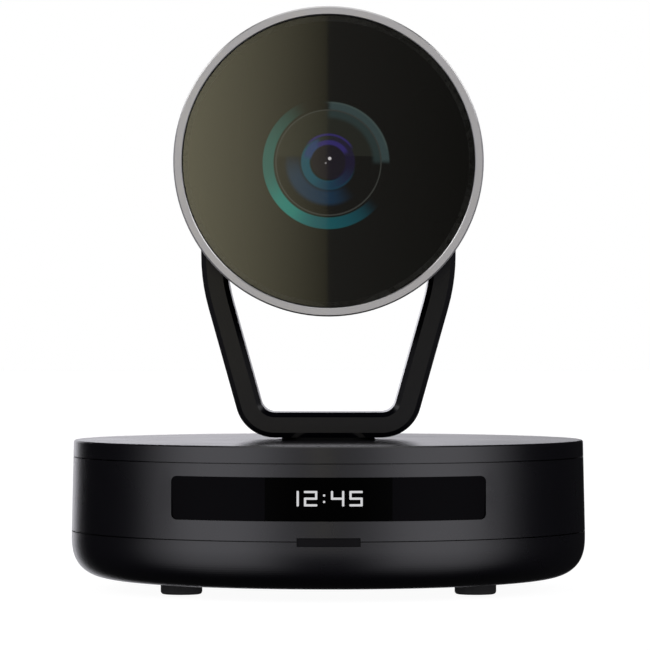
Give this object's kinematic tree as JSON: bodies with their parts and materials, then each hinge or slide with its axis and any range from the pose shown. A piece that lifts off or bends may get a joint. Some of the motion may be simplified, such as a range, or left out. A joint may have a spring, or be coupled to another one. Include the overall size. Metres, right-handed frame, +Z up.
{
  "type": "ptz camera",
  "caption": "Conference camera: a round base with a display window, a U-shaped yoke that pans on it, and a round glass-fronted head that tilts in the yoke.",
  "frame": {"origin": "on the floor under the pan axis, at the centre of the round base", "axes": "+Z up along the pan axis; the lens looks along -Y at rest; +X to the right seen from the front"},
  "size_m": [0.1514, 0.1514, 0.1688],
  "materials": {
    "base_plastic": "satin black shell, fine grain",
    "cover_plastic": "smooth black top",
    "dark_window": "polished infrared-passing black",
    "display_panel": "dark display glass",
    "circuit_board": "green solder mask",
    "black_part": "moulded black",
    "panel_plastic": "fine matt grain",
    "foot_rubber": "matt rubber",
    "insert_brass": "turned brass",
    "heatsink_aluminium": "clear anodised",
    "jack_plastic": "moulded black with a bright pin",
    "socket_shell": "tin-plated steel",
    "black_screw": "blackened steel",
    "bright_screw": "zinc plate",
    "frame_steel": "galvanised sheet",
    "motor_steel": "plated can",
    "bearing_steel": "ground steel",
    "bush_plastic": "natural acetal",
    "pinion_brass": "hobbed brass",
    "turntable_plastic": "moulded black",
    "shaft_steel": "turned steel",
    "gear_plastic": "natural acetal",
    "yoke_metal": "deep black paint",
    "yoke_cover": "moulded black",
    "flat_cable": "blue flat cable",
    "arm_cap": "moulded black",
    "ring_aluminium": "satin anodised, bright edges",
    "front_glass": "smoked, anti-glare coated",
    "head_plastic": "satin black shell",
    "baffle_black": "flocked black",
    "barrel_black": "matt black with a coated nose",
    "lens_glass": "coated lens",
    "lens_group": "matt black carriage with a coated lens"
  },
  "bodies": {
    "base": {"base_lower_shell": "base_plastic", "base_middle_shell": "base_plastic", "base_top_cover": "cover_plastic", "display_window": "dark_window", "oled_panel": "display_panel", "display_board": "circuit_board", "ir_window": "dark_window", "ir_receiver": "black_part", "io_panel": "panel_plastic", "foot_front_left": "foot_rubber", "foot_front_right": "foot_rubber", "foot_rear_left": "foot_rubber", "foot_rear_right": "foot_rubber", "tripod_insert": "insert_brass", "main_board": "circuit_board", "heatsink": "heatsink_aluminium", "dc_jack": "jack_plastic", "usb_socket": "socket_shell", "hdmi_socket": "socket_shell", "lan_socket": "socket_shell", "base_screws": "black_screw", "frame_screws": "bright_screw", "cover_screws": "bright_screw", "board_screws": "bright_screw", "pan_frame": "frame_steel", "pan_motor": "motor_steel", "pan_bearing_outer": "bearing_steel", "pan_bush": "bush_plastic", "pan_home_sensor": "black_part"},
    "pan_pinion": {"pan_motor_shaft": "bearing_steel", "pan_pinion": "pinion_brass"},
    "pan_ball_cage": {"pan_bearing_balls": "bearing_steel"},
    "yoke": {"turntable": "turntable_plastic", "pan_shaft": "shaft_steel", "pan_bearing_inner": "bearing_steel", "pan_gear": "gear_plastic", "pan_retainer": "black_screw", "yoke_frame": "yoke_metal", "yoke_rear_cover": "yoke_cover", "yoke_cable": "flat_cable", "tilt_pivot_left": "shaft_steel", "tilt_pivot_right": "shaft_steel", "tilt_gear": "gear_plastic", "arm_cap_left": "arm_cap", "arm_cap_right": "arm_cap"},
    "head": {"head_ring": "ring_aluminium", "front_glass": "front_glass", "head_front_shell": "head_plastic", "head_rear_shell": "head_plastic", "tilt_bush_left": "bush_plastic", "tilt_bush_right": "bush_plastic", "tilt_motor": "motor_steel", "front_baffle": "baffle_black", "lens_barrel": "barrel_black", "front_lens": "lens_glass", "sensor_board": "circuit_board"},
    "tilt_pinion": {"tilt_pinion": "pinion_brass"},
    "zoom_group": {"zoom_group": "lens_group"},
    "focus_group": {"focus_group": "lens_group"}
  },
  "joints": [
    {"name": "pan", "type": "hinge", "parent": "base", "child": "yoke", "pos_m": [0, 0, 0.0446], "axis": [0, 0, 1], "range_deg": [-170, 170]},
    {"name": "pan_pinion_spin", "type": "hinge", "parent": "base", "child": "pan_pinion", "pos_m": [-0.0352, 0, 0.03], "axis": [0, 0, 1], "range_deg": [-775, 775]},
    {"name": "pan_cage_spin", "type": "hinge", "parent": "base", "child": "pan_ball_cage", "pos_m": [0, 0, 0.025], "axis": [0, 0, 1], "range_deg": [-76, 76]},
    {"name": "tilt", "type": "hinge", "parent": "yoke", "child": "head", "pos_m": [0, 0, 0.1244], "axis": [-1, 0, 0], "range_deg": [-30, 90]},
    {"name": "tilt_pinion_spin", "type": "hinge", "parent": "head", "child": "tilt_pinion", "pos_m": [0.02, 0, 0.0996], "axis": [-1, 0, 0], "range_deg": [-128, 380]},
    {"name": "zoom", "type": "slide", "parent": "head", "child": "zoom_group", "axis": [0, 1, 0], "range_m": [-0.006, 0.006]},
    {"name": "focus", "type": "slide", "parent": "head", "child": "focus_group", "axis": [0, 1, 0], "range_m": [-0.002, 0.002]}
  ],
  "couplings": [
    {"joint": "pan_pinion_spin", "follows": "pan", "ratio": -4.5},
    {"joint": "pan_cage_spin", "follows": "pan", "ratio": 0.44},
    {"joint": "tilt_pinion_spin", "follows": "tilt", "ratio": 4.1667}
  ]
}
